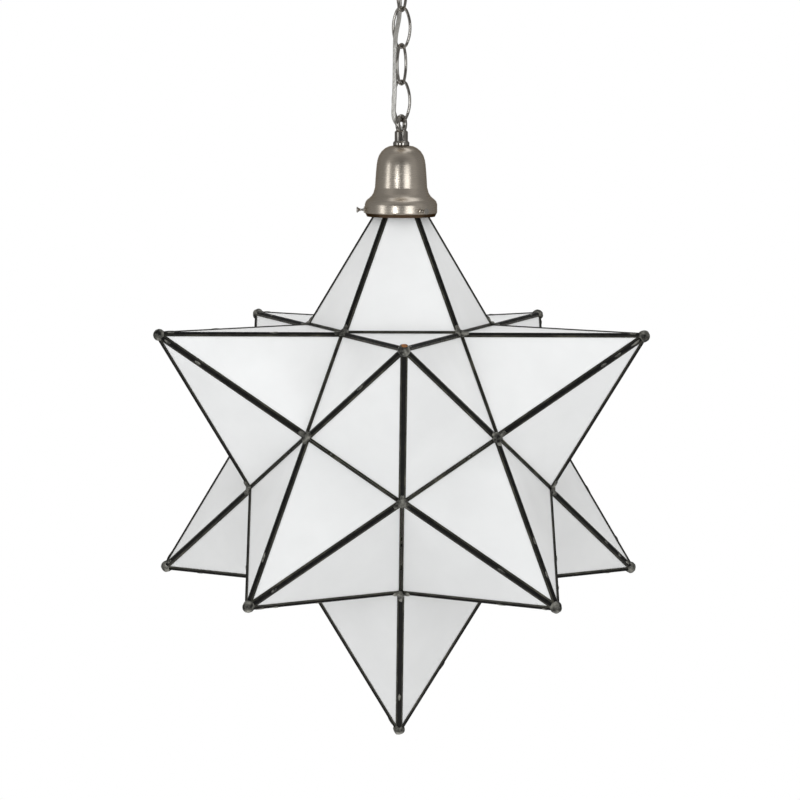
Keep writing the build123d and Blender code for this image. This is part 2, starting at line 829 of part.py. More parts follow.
def lamp_base():
    """Threaded metal shell of the lamp."""
    inner = lamp_base_diameter - 2 * lamp_base_sheet
    return tube(lamp_base_diameter, inner, lamp_base_height, lamp_shell_foot, hidden_sides)


def lamp_button():
    """Insulator and centre contact on top of the lamp."""
    inner = lamp_base_diameter / 2 - lamp_base_sheet
    rings = [
        (inner, -lamp_button_height - lamp_insulator_height),
        (inner, -lamp_button_height),
        (lamp_button_radius, -lamp_button_bevel),
        (lamp_button_radius - lamp_button_bevel, 0),
    ]
    return Pos(0, 0, lamp_base_top) * stack(rings, hidden_sides)


def lamp_globe():
    """Slim flame-shaped glass of the lamp, narrow enough for the star's neck."""
    def half(wall):
        neck = lamp_neck_radius - wall
        belly = collar_bore / 2 - lamp_globe_play - wall
        tip_drop = lamp_globe_length - lamp_belly_drop - wall
        rings = []
        for turn in (80, 60, 40, 20):
            level = -lamp_belly_drop - tip_drop * sin(radians(turn))
            rings.append((belly * cos(radians(turn)), level))
        for turn in (180, 120, 60, 0):
            ease = (1 - cos(radians(turn))) / 2
            rings.append((neck + (belly - neck) * ease, -lamp_belly_drop * turn / 180))
        return stack(rings + [(neck, lamp_neck_height)], hidden_sides)

    return Pos(0, 0, lamp_shell_foot) * (half(0) - half(lamp_globe_wall))


# -------------------------------------------------------------------- the nodes

def all_nodes():
    """Every node of the lamp by name."""
    nodes = {
        "ceiling_bar": ceiling_bar(),
        "ceiling_nipple": ceiling_nipple(),
        "ceiling_washer": split_washer(-bar_thickness),
        "ceiling_nut": hex_nut(-bar_thickness - washer_height),
        "ground_screw": ground_screw(),
        "canopy_loop": canopy_loop(),
        "canopy": canopy(),
        "collar_ring": collar_ring(),
    }
    for number in range(link_count):
        turn = chain_turn if number % 2 == 0 else across(chain_turn)
        nodes[f"chain_link_{number + 1}"] = link(turn, link_tops[number])
    nodes["lamp_cord"] = lamp_cord()
    nodes["bell_loop"] = bell_loop()
    nodes["bell"] = bell_holder()
    nodes["bell_nipple"] = bell_nipple()
    nodes["bell_washer"] = split_washer(bell_top - bell_wall)
    nodes["bell_nut"] = hex_nut(bell_top - bell_wall - washer_height)
    for number, azimuth in enumerate(screw_azimuths):
        nodes[f"thumb_screw_{number + 1}"] = thumb_screw(azimuth)
    nodes["socket_cap"] = socket_cap()
    nodes["socket_body"] = socket_body()
    nodes["socket_screw_shell"] = screw_shell()
    nodes["socket_contact"] = centre_contact()
    nodes["socket_terminals"] = terminal_screws()
    nodes["lamp_base"] = lamp_base()
    nodes["lamp_button"] = lamp_button()
    nodes["lamp_globe"] = lamp_globe()
    nodes["star_collar"] = star_collar()
    nodes.update(star_points())
    nodes["tip_solder"] = tip_balls()
    nodes["vertex_solder"] = vertex_joints()
    return nodes


os.makedirs("parts", exist_ok=True)
for node_name, shape in all_nodes().items():
    export_step(shape, f"parts/{node_name}.step")
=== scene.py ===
from math import asin, atan2, cos, degrees, hypot, pi, radians, sin

import bmesh
import bpy
from mathutils import Euler, Matrix, Vector, noise


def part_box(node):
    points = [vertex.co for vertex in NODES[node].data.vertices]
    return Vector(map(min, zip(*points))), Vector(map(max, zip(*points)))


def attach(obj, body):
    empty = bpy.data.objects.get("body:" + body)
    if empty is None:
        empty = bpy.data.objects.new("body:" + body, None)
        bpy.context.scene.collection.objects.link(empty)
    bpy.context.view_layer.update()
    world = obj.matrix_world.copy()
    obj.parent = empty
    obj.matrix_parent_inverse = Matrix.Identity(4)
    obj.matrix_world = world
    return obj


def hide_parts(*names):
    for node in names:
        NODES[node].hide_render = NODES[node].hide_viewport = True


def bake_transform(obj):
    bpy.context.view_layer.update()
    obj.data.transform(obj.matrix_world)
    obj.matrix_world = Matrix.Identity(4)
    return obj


bl_info = {
    "name": "Star Pendant",
    "version": (1, 0, 0),
    "blender": (4, 5, 0),
    "location": "3D View > Sidebar > Star Pendant",
    "description": "Dresses a leaded glass star pendant over its packed CAD frame",
    "category": "Object",
}

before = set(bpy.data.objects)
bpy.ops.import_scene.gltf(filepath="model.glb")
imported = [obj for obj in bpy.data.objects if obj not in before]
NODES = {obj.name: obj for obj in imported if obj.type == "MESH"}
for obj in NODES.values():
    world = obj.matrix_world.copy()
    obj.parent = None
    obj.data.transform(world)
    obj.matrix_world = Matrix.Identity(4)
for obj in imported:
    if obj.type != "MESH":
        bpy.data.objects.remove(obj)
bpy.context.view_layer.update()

MERGE = 1e-6    # verts closer than this are one

UPPER_POINTS = ["top"] + [f"upper_{n}" for n in range(1, 6)]
LOWER_POINTS = [f"lower_{n}" for n in range(1, 6)] + ["bottom"]
SCREW_AZIMUTHS = (34.0, -86.0, 154.0)   # degrees round from the front

# From the star's middle, in metres
TIP_REACH = 0.29702     # out to each sharp tip
STAR_REACH = 0.28902    # out to where each point is cut for its ball
JOINT_REACH = 0.16717   # out to where six panes meet

# Cosines that tell which tips and corners belong together
TIPS_APART = (0.4, 0.5)     # between two tips of one corner
CORNER_NEAR = 0.7           # a tip and a corner at the foot of its point are above this

# The cord's route beside the chain: along the bell loop's plane, along the
# plane that crosses it, and the level, in metres.
CORD_ROUTE = (
    (0.0, 0.0, -0.001), (0.0, 0.0, -0.0365), (0.0026, -0.002, -0.0412),
    (0.0054, -0.0052, -0.048), (0.0054, -0.0054, -0.063), (0.0049, -0.005, -0.079),
    (0.005, -0.0053, -0.093), (0.0002, -0.0054, -0.104), (-0.0046, -0.0051, -0.115),
    (-0.0049, -0.005, -0.131), (-0.0046, -0.0053, -0.147), (-0.0046, -0.0055, -0.163),
    (-0.0046, -0.006, -0.179), (-0.005, -0.0066, -0.1905), (-0.0048, -0.006, -0.1984),
    (-0.0015, -0.0023, -0.205), (0.0, 0.0, -0.21), (0.0, 0.0, -0.243),
)
CORD_STEPS = 12     # straight steps between two points of the route
CORD_TILT = 12      # degrees that the flat side is turned about the route

# The cord is cut at the middle of each link, and each length crosses one hinge
CORD_CUTS = (-0.001, -0.0662, -0.1039, -0.1416, -0.1793, -0.243)


# ------------------------------------------------------------------- settings

class StarPendantSizes(bpy.types.PropertyGroup):
    """Sizes of the pieces that are modelled here."""

    wire: bpy.props.FloatProperty(
        name="Link wire", description="Thickness of the chain's wire", default=0.003, unit="LENGTH")
    link_length: bpy.props.FloatProperty(
        name="Link length", description="Between the middles of a link's end bends", default=0.041,
        unit="LENGTH")
    link_width: bpy.props.FloatProperty(
        name="Link width", description="Between the middles of a link's sides", default=0.0195,
        unit="LENGTH")
    link_end: bpy.props.FloatProperty(
        name="Link end radius", description="Bend at both ends of a link", default=0.0065, unit="LENGTH")
    chain_turn: bpy.props.FloatProperty(
        name="Chain turn", description="Turn of the bell loop's plane from the X axis", default=radians(62),
        subtype="ANGLE")
    eye_radius: bpy.props.FloatProperty(
        name="Eye radius", description="Middle of a loop's ring to the middle of its bar", default=0.008,
        unit="LENGTH")
    eye_bar: bpy.props.FloatProperty(
        name="Eye bar", description="Thickness of a loop's ring", default=0.005, unit="LENGTH")
    bell_wall: bpy.props.FloatProperty(
        name="Bell wall", description="Thickness of the spun bell", default=0.001, unit="LENGTH")
    cord_width: bpy.props.FloatProperty(
        name="Cord width", description="Width of the flat two-core cord", default=0.0048, unit="LENGTH")
    cord_thickness: bpy.props.FloatProperty(
        name="Cord thickness", description="Thickness of the flat cord", default=0.0026, unit="LENGTH")
    ball_radius: bpy.props.FloatProperty(
        name="Tip ball radius", description="Solder ball on each tip", default=0.0062, unit="LENGTH")
    joint_radius: bpy.props.FloatProperty(
        name="Joint radius", description="Solder where six panes meet", default=0.0056, unit="LENGTH")


class StarPendantColours(bpy.types.PropertyGroup):
    """Colours that a user may change."""

    glass: bpy.props.FloatVectorProperty(
        name="Opal glass", description="Milky glass of the panes", default=(0.86, 0.86, 0.85),
        subtype="COLOR", min=0, max=1)
    came: bpy.props.FloatVectorProperty(
        name="Came patina", description="Dark patina on the lead", default=(0.020, 0.019, 0.014),
        subtype="COLOR", min=0, max=1)
    came_edge: bpy.props.FloatVectorProperty(
        name="Came wear", description="Worn lead along the came", default=(0.10, 0.093, 0.068),
        subtype="COLOR", min=0, max=1)
    solder: bpy.props.FloatVectorProperty(
        name="Solder", description="Dull solder on the joints", default=(0.115, 0.112, 0.098),
        subtype="COLOR", min=0, max=1)
    nickel: bpy.props.FloatVectorProperty(
        name="Nickel", description="Plated chain, loops and bell", default=(0.46, 0.43, 0.39),
        subtype="COLOR", min=0, max=1)
    cord: bpy.props.FloatVectorProperty(
        name="Cord", description="Silver cord jacket", default=(0.39, 0.375, 0.345),
        subtype="COLOR", min=0, max=1)


def sizes():
    """The scene's sizes."""
    return bpy.context.scene.star_pendant_sizes


def colours():
    """The scene's colours."""
    return bpy.context.scene.star_pendant_colours


# --------------------------------------------------------------- shader nodes

def add_node(owner, kind, inputs=(), **settings):
    """A node of a material or world, with its settings and unlinked inputs."""
    made = owner.node_tree.nodes.new(kind)
    for key, value in settings.items():
        setattr(made, key, value)
    for key, value in dict(inputs).items():
        made.inputs[key].default_value = value
    return made


def wire(owner, source, target):
    """Links an output to an input."""
    owner.node_tree.links.new(source, target)


def axes_of(owner, source):
    """The X, Y and Z outputs of a vector."""
    parts = add_node(owner, "ShaderNodeSeparateXYZ")
    wire(owner, source, parts.inputs["Vector"])
    return parts.outputs


def pattern(mat, scale, detail=3.0, stretch=(1, 1, 1)):
    """Noise on Object coordinates, finer along the axes with a larger stretch."""
    place = add_node(mat, "ShaderNodeTexCoord")
    mapping = add_node(mat, "ShaderNodeMapping", {"Scale": stretch})
    made = add_node(mat, "ShaderNodeTexNoise", {"Scale": scale, "Detail": detail})
    wire(mat, place.outputs["Object"], mapping.inputs["Vector"])
    wire(mat, mapping.outputs["Vector"], made.inputs["Vector"])
    return made.outputs["Fac"]


def spread(owner, source, low, high, edges=(0.3, 0.7)):
    """Maps a number between two edges to a range of numbers."""
    made = add_node(owner, "ShaderNodeMapRange",
                    {"From Min": edges[0], "From Max": edges[1], "To Min": low, "To Max": high})
    wire(owner, source, made.inputs["Value"])
    return made.outputs["Result"]


def tint(owner, source, stops):
    """Maps a number to colours given as (place, colour)."""
    ramp = add_node(owner, "ShaderNodeValToRGB")
    wire(owner, source, ramp.inputs["Fac"])
    elements = ramp.color_ramp.elements
    while len(elements) < len(stops):
        elements.new(0.5)
    for element, (place, colour) in zip(elements, stops):
        element.position = place
        element.color = (*colour, 1.0)
    return ramp.outputs["Color"]


def seen_directly(owner, *kinds):
    """One for camera rays and the given kinds of ray, else nothing."""
    path = add_node(owner, "ShaderNodeLightPath")
    seen = path.outputs["Is Camera Ray"]
    for kind in kinds:
        either = add_node(owner, "ShaderNodeMath", operation="MAXIMUM")
        wire(owner, seen, either.inputs[0])
        wire(owner, path.outputs[kind], either.inputs[1])
        seen = either.outputs[0]
    return seen


# ------------------------------------------------------------------ materials

def shader_input(mat, name):
    """A socket of a material's shader."""
    return mat.node_tree.nodes["Principled BSDF"].inputs[name]


def material(name, colour, roughness, metallic=0.0, inputs=()):
    """A material whose constants are set on the shader's own sockets."""
    mat = bpy.data.materials.new(name)
    mat.use_nodes = True
    values = {"Base Color": (*colour, 1.0), "Roughness": roughness, "Metallic": metallic, **dict(inputs)}
    for key, value in values.items():
        shader_input(mat, key).default_value = value
    return mat


def vary_colour(mat, source, stops):
    """Colours a material by a pattern."""
    wire(mat, tint(mat, source, stops), shader_input(mat, "Base Color"))


def vary_roughness(mat, source, low, high):
    """Roughens a material by a pattern."""
    wire(mat, spread(mat, source, low, high), shader_input(mat, "Roughness"))


def raise_surface(mat, source, distance, strength):
    """A bump from a pattern."""
    made = add_node(mat, "ShaderNodeBump", {"Distance": distance, "Strength": strength})
    wire(mat, source, made.inputs["Height"])
    wire(mat, made.outputs["Normal"], shader_input(mat, "Normal"))


def shade(colour, amount):
    """A colour made lighter or darker."""
    return tuple(min(1.0, channel * amount) for channel in colour)


def worn_metal(name, colour, roughness):
    """Plated or bare metal with soft tone changes, fine grain and a few scuffs."""
    mat = material(name, colour, roughness, 1.0, {"Specular Tint": (0.45, 0.43, 0.40, 1)})
    vary_colour(mat, pattern(mat, 60.0, 4.0), [(0.25, shade(colour, 0.82)), (0.75, shade(colour, 1.1))])
    fine = pattern(mat, 900.0, 2.0)
    vary_roughness(mat, fine, roughness * 0.75, roughness * 1.35)
    raise_surface(mat, fine, 0.00002, 0.35)
    return mat


def polished_nickel():
    """Bright plating with faint waves and a few dull patches."""
    mat = bpy.data.materials.get("polished_nickel")
    if mat:
        return mat
    colour = shade(colours().nickel, 0.85)
    mat = material("polished_nickel", colour, 0.12, 1.0, {"Specular Tint": (0.35, 0.33, 0.30, 1)})
    vary_colour(mat, pattern(mat, 150.0), [(0.3, shade(colour, 0.75)), (0.7, shade(colour, 1.12))])
    vary_roughness(mat, pattern(mat, 420.0), 0.06, 0.16)
    raise_surface(mat, pattern(mat, 260.0, 1.0), 0.00006, 0.25)
    return mat


def satin_nickel(name, rim=None):
    """Satin nickel with fine lathe rings, and a painted dark brown shade below the level of a rolled rim.
    """
    colour = tuple(channel * gain for channel, gain in zip(colours().nickel, (1.38, 1.31, 1.22)))
    mat = material(name, colour, 0.25, 1.0, {"Specular Tint": (0.35, 0.32, 0.28, 1)})
    plating = tint(mat, pattern(mat, 40.0), [(0.3, shade(colour, 0.9)), (0.7, shade(colour, 1.06))])
    if rim is not None:
        place = add_node(mat, "ShaderNodeTexCoord")
        level = axes_of(mat, place.outputs["Object"])["Z"]
        # Painted shade: dark brown mixed into the plating below the rim's level, standing for the shade
        # under the rolled rim
        rim_shade = add_node(mat, "ShaderNodeMix", {"B": (0.10, 0.065, 0.040, 1)}, data_type="RGBA")
        wire(mat, spread(mat, level, 1.0, 0.0, (rim - 0.0004, rim + 0.0004)), rim_shade.inputs["Factor"])
        wire(mat, plating, rim_shade.inputs["A"])
        plating = rim_shade.outputs["Result"]
    wire(mat, plating, shader_input(mat, "Base Color"))
    rings = pattern(mat, 30.0, stretch=(0.4, 0.4, 160))
    vary_roughness(mat, rings, 0.25, 0.31)
    raise_surface(mat, rings, 0.000003, 0.2)
    return mat


def dress(names, mat):
    """Gives CAD nodes a material in their own slots."""
    for name in names:
        for slot in NODES[name].material_slots:
            slot.link = "OBJECT"
            slot.material = mat


# --------------------------------------------------------------- piece making

def finish_piece(name, bm, mat, body, replaced=(), smooth_angle=40.0):
    """Turns a bmesh into a piece that rides on a body and may stand for CAD nodes."""
    bmesh.ops.remove_doubles(bm, verts=bm.verts, dist=MERGE)
    bmesh.ops.recalc_face_normals(bm, faces=bm.faces)
    for face in bm.faces:
        face.smooth = True
    limit = radians(smooth_angle)
    for edge in bm.edges:
        if len(edge.link_faces) == 2 and edge.calc_face_angle(0.0) > limit:
            edge.smooth = False
    mesh = bpy.data.meshes.new(name)
    bm.to_mesh(mesh)
    bm.free()
    mesh.materials.append(mat)
    obj = bpy.data.objects.new(name, mesh)
    bpy.context.scene.collection.objects.link(obj)
    if body:
        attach(obj, body)
    if replaced:
        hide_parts(*replaced)
    return obj


def everything(bm):
    """All verts, edges and faces of a bmesh."""
    return list(bm.verts) + list(bm.edges) + list(bm.faces)


def spin_round(bm, geometry, steps, middle=(0, 0, 0), axis=(0, 0, 1), angle=2 * pi):
    """Spins geometry about an axis; a full turn closes on itself."""
    return bmesh.ops.spin(bm, geom=geometry, cent=middle, axis=axis, dvec=(0, 0, 0), angle=angle,
                          steps=steps, use_merge=abs(angle - 2 * pi) < MERGE,
                          use_normal_flip=False, use_duplicate=False)["geom_last"]


def turned(profile, steps, closed=False, rounding=0.0):
    """An outline of (radius, height) points with rounded corners, spun about Z."""
    bm = bmesh.new()
    verts = [bm.verts.new((radius, 0.0, height)) for radius, height in profile]
    for pair in zip(verts, verts[1:]):
        bm.edges.new(pair)
    if closed:
        bm.edges.new((verts[-1], verts[0]))
    if rounding:
        bmesh.ops.bevel(bm, geom=verts, offset=rounding, offset_type="OFFSET", segments=2,
                        profile=0.5, affect="VERTICES", material=-1)
    spin_round(bm, everything(bm), steps)
    return bm


def spun_sheet(profile, steps, wall):
    """Sheet metal spun to an outline of its outer side."""
    bm = turned(profile, steps)
    bmesh.ops.remove_doubles(bm, verts=bm.verts, dist=MERGE)
    bmesh.ops.recalc_face_normals(bm, faces=bm.faces)
    if sum(face.normal.xy.dot(face.calc_center_median().xy) for face in bm.faces) < 0:
        bmesh.ops.reverse_faces(bm, faces=bm.faces)
    bmesh.ops.solidify(bm, geom=list(bm.faces), thickness=wall)
    return bm


def wire_end(bm, segments, radius, level):
    """The round section of a wire that stands on the Z axis and runs along X."""
    matrix = Matrix.Translation((0, 0, level)) @ Matrix.Rotation(pi / 2, 4, "Y")
    ring = bmesh.ops.create_circle(bm, segments=segments, radius=radius, cap_ends=False, matrix=matrix)
    return ring["verts"] + list(bm.edges)


def join_in(bm, part):
    """Adds another bmesh's geometry and frees it."""
    mesh = bpy.data.meshes.new("part")
    part.to_mesh(mesh)
    part.free()
    bm.from_mesh(mesh)
    bpy.data.meshes.remove(mesh)


def outward(azimuth):
    """The level direction at an azimuth, in degrees round from the front."""
    turn = radians(azimuth)
    return Vector((sin(turn), -cos(turn), 0))


def facing(direction):
    """The turn that takes the Z axis to a direction."""
    return Vector((0, 0, 1)).rotation_difference(direction).to_matrix()


def about_z(turn):
    """A turn about the Z axis."""
    return Matrix.Rotation(turn, 3, "Z")


def put(bm, turn, level):
    """Turns a bmesh and lifts it to its level."""
    bmesh.ops.rotate(bm, verts=bm.verts, matrix=turn)
    bmesh.ops.translate(bm, verts=bm.verts, vec=(0, 0, level))


def modifier(obj, name, kind, **settings):
    """Adds a modifier with its settings."""
    made = obj.modifiers.new(name, kind)
    for key, value in settings.items():
        setattr(made, key, value)


def soften_edges(names, width):
    """Welds CAD nodes' loose triangles and rounds their sharp edges."""
    for name in names:
        modifier(NODES[name], "weld", "WELD", merge_threshold=0.000002)
        modifier(NODES[name], "soft_edges", "BEVEL", width=width, segments=2,
                 limit_method="ANGLE", angle_limit=radians(30), harden_normals=False)


# --------------------------------------------------------------------- camera

class STARPENDANT_OT_camera(bpy.types.Operator):
    """Add the camera at the photograph's viewing angle"""

    bl_idname = "star_pendant.camera"
    bl_label = "Camera"

    def execute(self, context):
        data = bpy.data.cameras.new("camera")
        data.lens = 176.1
        data.sensor_width = 36.0
        data.clip_start, data.clip_end = 0.05, 60.0
        camera = bpy.data.objects.new("camera", data)
        camera.location = (-0.05572, -4.05563, -0.10100)
        camera.rotation_euler = Euler((radians(84.5225), radians(-0.2238), radians(-0.7621)), "XYZ")
        context.scene.collection.objects.link(camera)
        context.scene.camera = camera
        return {"FINISHED"}


# ----------------------------------------------------------------------- cord

def route_curve():
    """A NURBS curve along the cord's route."""
    turn = sizes().chain_turn
    along = Vector((cos(turn), sin(turn), 0))
    crossing = Vector((sin(turn), -cos(turn), 0))
    curve = bpy.data.curves.new("cord_line", "CURVE")
    curve.dimensions = "3D"
    spline = curve.splines.new("NURBS")
    spline.points.add(len(CORD_ROUTE) - 1)
    for place, (one, two, level) in zip(spline.points, CORD_ROUTE):
        place.co = (*(along * one + crossing * two + Vector((0, 0, level))), 1.0)
    spline.order_u = 3
    spline.use_endpoint_u = True
    spline.resolution_u = CORD_STEPS
    return curve


def as_mesh(curve, name):
    """A curve's mesh as Blender makes it."""
    holder = bpy.data.objects.new(name, curve)
    bpy.context.scene.collection.objects.link(holder)
    bpy.context.view_layer.update()
    mesh = bpy.data.meshes.new_from_object(holder.evaluated_get(bpy.context.evaluated_depsgraph_get()))
    bpy.data.objects.remove(holder)
    return mesh


def cord_section(width, thickness):
    """The flat two-core section: two round cores and a web, as a closed curve."""
    curve = bpy.data.curves.new("cord_section", "CURVE")
    curve.dimensions = "2D"
    spline = curve.splines.new("POLY")
    core = thickness / 2
    reach = width / 2 - core
    corners = []
    for side in (1, -1):
        for step in range(9):
            angle = radians(-120 + 30 * step) + (0 if side > 0 else pi)
            corners.append((side * reach + core * cos(angle), core * sin(angle)))
    spline.points.add(len(corners) - 1)
    for place, corner in zip(spline.points, corners):
        place.co = (*corner, 0.0, 1.0)
    spline.use_cyclic_u = True
    return curve


def path_between(line, high, low):
    """The part of the cord's middle line between two levels, from the top down."""
    path = []
    for here, after in zip(line, line[1:]):
        for level in (high, low):
            if here.z > level > after.z:
                path.append(here.lerp(after, (here.z - level) / (here.z - after.z)))
        if low < after.z < high:
            path.append(after.copy())
    path.sort(key=lambda point: -point.z)
    if high == CORD_CUTS[0]:
        path.insert(0, line[0].copy())
    if low == CORD_CUTS[-1]:
        path.append(line[-1].copy())
    return path


class STARPENDANT_OT_cord(bpy.types.Operator):
    """Add the flat cord, cut at the middle of each link so that each length crosses one hinge"""

    bl_idname = "star_pendant.cord"
    bl_label = "Cord"

    def execute(self, context):
        size = sizes()
        line = [vert.co.copy() for vert in as_mesh(route_curve(), "cord_line").vertices]
        if line[0].z < line[-1].z:
            line.reverse()
        section = bpy.data.objects.new("cord_section", cord_section(size.cord_width, size.cord_thickness))
        context.scene.collection.objects.link(section)
        curve = route_curve()
        curve.bevel_mode = "OBJECT"
        curve.bevel_object = section
        curve.use_fill_caps = True
        curve.twist_mode = "MINIMUM"
        for point in curve.splines[0].points:
            point.tilt = radians(CORD_TILT)
        whole = as_mesh(curve, "cord_whole")
        bpy.data.objects.remove(section)
        mat = self.jacket()
        for number, levels in enumerate(zip(CORD_CUTS, CORD_CUTS[1:])):
            self.span(whole, path_between(line, *levels), number, levels, mat)
        return {"FINISHED"}

    @staticmethod
    def jacket():
        """Silver strands seen through a clear soft jacket."""
        colour = colours().cord
        mat = material("cord_jacket", colour, 0.3, 0.3, {"Coat Weight": 0.4, "Coat Roughness": 0.15})
        strands = pattern(mat, 900.0, 2.0, (1, 1, 0.3))
        vary_colour(mat, strands, [(0.3, shade(colour, 0.7)), (0.5, colour), (0.72, shade(colour, 1.25))])
        raise_surface(mat, strands, 0.0001, 0.3)
        return mat

    @staticmethod
    def span(whole, path, number, levels, mat):
        """One length of the cord, which crosses one hinge."""
        bm = bmesh.new()
        bm.from_mesh(whole)
        bmesh.ops.remove_doubles(bm, verts=bm.verts, dist=MERGE)
        for level, side in zip(levels, ("clear_outer", "clear_inner")):
            if level in (CORD_CUTS[0], CORD_CUTS[-1]):
                continue
            cut = bmesh.ops.bisect_plane(bm, geom=everything(bm), plane_co=(0, 0, level),
                                         plane_no=(0, 0, 1), **{side: True})
            rim = [part for part in cut["geom_cut"] if isinstance(part, bmesh.types.BMEdge)]
            bmesh.ops.holes_fill(bm, edges=rim)
        obj = finish_piece(f"cord_span_{number + 1}", bm, mat, None, ("lamp_cord",),
                           smooth_angle=60.0)
        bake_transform(obj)


# ---------------------------------------------------------------------- chain

class STARPENDANT_OT_chain(bpy.types.Operator):
    """Add the four bent-wire links of the chain"""

    bl_idname = "star_pendant.chain"
    bl_label = "Chain links"

    def execute(self, context):
        size = sizes()
        half_length, half_width, end = size.link_length / 2, size.link_width / 2, size.link_end
        end_level = half_length - end
        side = (end_level ** 2 + half_width ** 2 - end ** 2) / (2 * (half_width - end))
        meeting = asin(end_level / (side - end))
        for number in range(1, 5):
            low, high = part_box(f"chain_link_{number}")
            bm = bmesh.new()
            section = wire_end(bm, 20, size.wire / 2, half_length)
            for steps, middle, angle in (
                (12, (0, 0, end_level), pi / 2 - meeting),
                (14, (half_width - side, 0, 0), 2 * meeting),
                (12, (0, 0, -end_level), pi / 2 - meeting),
            ):
                section = spin_round(bm, section, steps, middle, (0, 1, 0), angle)
            bmesh.ops.mirror(bm, geom=everything(bm), axis="X", merge_dist=MERGE)
            put(bm, about_z(size.chain_turn - (0 if number % 2 else pi / 2)), (low.z + high.z) / 2)
            finish_piece(f"link_{number}_wire", bm, polished_nickel(), f"link_{number}",
                         (f"chain_link_{number}",), smooth_angle=80.0)
        return {"FINISHED"}


class STARPENDANT_OT_loops(bpy.types.Operator):
    """Add the loop under the canopy and the loop on the bell"""

    bl_idname = "star_pendant.loops"
    bl_label = "Loops"

    def execute(self, context):
        size = sizes()
        hub_inset = size.eye_radius - size.eye_bar / 2 + 0.0005

        low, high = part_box("bell_loop")
        eye = high.z - size.eye_radius - size.eye_bar / 2
        foot, top = low.z, eye - hub_inset
        self.casting("bell_loop", "fixture", size.chain_turn, eye, 0.0003, [
            (0.0036, top), (0.0051, top), (0.0069, top - 0.0018), (0.0069, foot + 0.0046),
            (0.0072, foot + 0.0044), (0.0085, foot + 0.0031), (0.0085, foot), (0.005, foot),
            (0.005, foot + 0.009), (0.0036, foot + 0.0095),
        ])

        low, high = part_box("canopy_loop")
        eye = low.z + size.eye_radius + size.eye_bar / 2
        foot, top = eye + hub_inset, high.z
        self.casting("canopy_loop", "ceiling_mount", size.chain_turn - pi / 2, eye, 0.0004, [
            (0.0036, foot), (0.008, foot), (0.011, foot + 0.003), (0.011, top),
            (0.00505, top), (0.00505, top - 0.012), (0.0036, top - 0.0125),
        ])
        return {"FINISHED"}

    @staticmethod
    def casting(node, body, turn, level, rounding, hub):
        """A turned hub with a round eye that stands in a plane."""
        size = sizes()
        eye = bmesh.new()
        section = wire_end(eye, 24, size.eye_bar / 2, size.eye_radius)
        spin_round(eye, section, 48, axis=(0, 1, 0))
        put(eye, about_z(turn), level)
        bm = turned(hub, 48, closed=True, rounding=rounding)
        join_in(bm, eye)
        finish_piece(f"{node}_casting", bm, polished_nickel(), body, (node,),
                     smooth_angle=50.0)


# ----------------------------------------------------------------------- bell

# Radius, and drop below the bell's top
BELL_OUTLINE = (
    (0.0051, 0.0), (0.0080, 0.0), (0.0125, 0.0008), (0.0165, 0.0027), (0.0203, 0.0060),
    (0.0231, 0.0104), (0.0246, 0.0150), (0.0254, 0.0200), (0.0261, 0.0280), (0.0266, 0.0350),
    (0.0271, 0.0434), (0.02715, 0.0438), (0.0274, 0.0442), (0.0286, 0.0488), (0.0305, 0.0520),
    (0.0328, 0.0542), (0.0350, 0.0560), (0.0364, 0.0576), (0.0374, 0.0601), (0.0376, 0.0612),
    (0.0376, 0.0685), (0.03755, 0.0692), (0.0372, 0.0699), (0.0353, 0.0735),
)

# Radius, and distance out from the bell's axis
BOSS_OUTLINE = ((0.0017, 0.0386), (0.0031, 0.0386), (0.0034, 0.0383), (0.0034, 0.0366))
SCREW_OUTLINE = (
    (0.0, 0.0283), (0.0013, 0.0283), (0.0015, 0.0286), (0.0015, 0.0396), (0.0012, 0.0400),
    (0.0011, 0.0406), (0.00115, 0.0418), (0.0014, 0.0429), (0.0019, 0.0439), (0.0025, 0.0447),
    (0.0029, 0.0451), (0.0030, 0.0454), (0.0030, 0.0458), (0.00285, 0.0461), (0.0, 0.0461),
)

# Above the bell's lower edge
BOSS_LEVEL = 0.007
# Painted shade: the bell is darkened up to this level
RIM_SHADE_LEVEL = 0.0036


class STARPENDANT_OT_bell(bpy.types.Operator):
    """Add the spun bell with its three screw bosses"""

    bl_idname = "star_pendant.bell"
    bl_label = "Bell"

    def execute(self, context):
        low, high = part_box("bell")
        profile = [(radius, high.z - drop) for radius, drop in BELL_OUTLINE]
        bm = spun_sheet(profile, 96, sizes().bell_wall)
        for azimuth in SCREW_AZIMUTHS:
            boss = turned(BOSS_OUTLINE, 32)
            put(boss, facing(outward(azimuth)), low.z + BOSS_LEVEL)
            join_in(bm, boss)
        mat = satin_nickel("satin_nickel", low.z + RIM_SHADE_LEVEL)
        finish_piece("bell_spun", bm, mat, "fixture", ("bell",), smooth_angle=28.0)
        return {"FINISHED"}


class STARPENDANT_OT_screws(bpy.types.Operator):
    """Add the three thumbscrews with flared heads"""

    bl_idname = "star_pendant.screws"
    bl_label = "Thumbscrews"

    def execute(self, context):
        mat = worn_metal("screw_nickel", shade(colours().nickel, 0.95), 0.18)
        for number, azimuth in enumerate(SCREW_AZIMUTHS, 1):
            low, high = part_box(f"thumb_screw_{number}")
            bm = turned(SCREW_OUTLINE, 32)
            put(bm, facing(outward(azimuth)), (low.z + high.z) / 2)
            finish_piece(f"thumbscrew_{number}_turned", bm, mat, f"thumb_screw_{number}",
                         (f"thumb_screw_{number}",))
        return {"FINISHED"}


# ----------------------------------------------------------------------- star

def tip_directions():
    """Directions of the star's twelve tips from its middle, the top one first."""
    tilt = atan2(2.0, 1.0)
    found = [Vector((0, 0, 1))]
    for start, side in ((0, 1), (36, -1)):
        for number in range(5):
            turn = radians(start + 72 * number)
            found.append(Vector((sin(turn) * sin(tilt), -cos(turn) * sin(tilt), side * cos(tilt))))
    return found + [Vector((0, 0, -1))]


